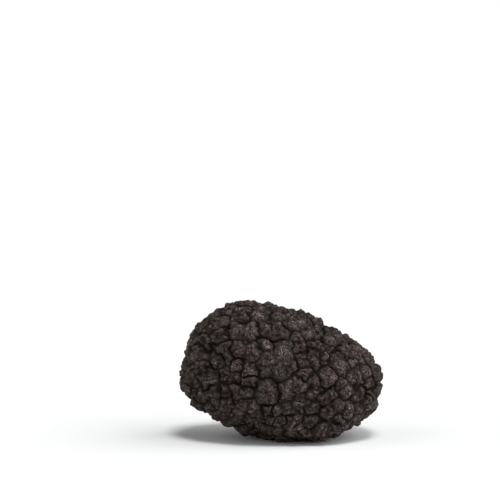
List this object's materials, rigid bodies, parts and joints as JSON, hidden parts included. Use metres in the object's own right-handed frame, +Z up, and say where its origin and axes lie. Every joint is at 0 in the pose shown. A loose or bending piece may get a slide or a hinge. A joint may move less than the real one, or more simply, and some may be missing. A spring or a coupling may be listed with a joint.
{
  "type": "black truffle",
  "caption": "Whole black truffle, a blunt lumpy egg with a rind of polygonal cracked warts, lying on a small flat spot.",
  "frame": {"origin": "on the surface that the truffle lies on, under the middle of its outline", "axes": "+Z up, +X along the truffle's length towards its lower end, -Y towards the face that shows most"},
  "size_m": [0.0431, 0.0318, 0.0295],
  "materials": {
    "rind": "matte"
  },
  "bodies": {
    "root": {"black_truffle": "rind"}
  },
  "joints": []
}
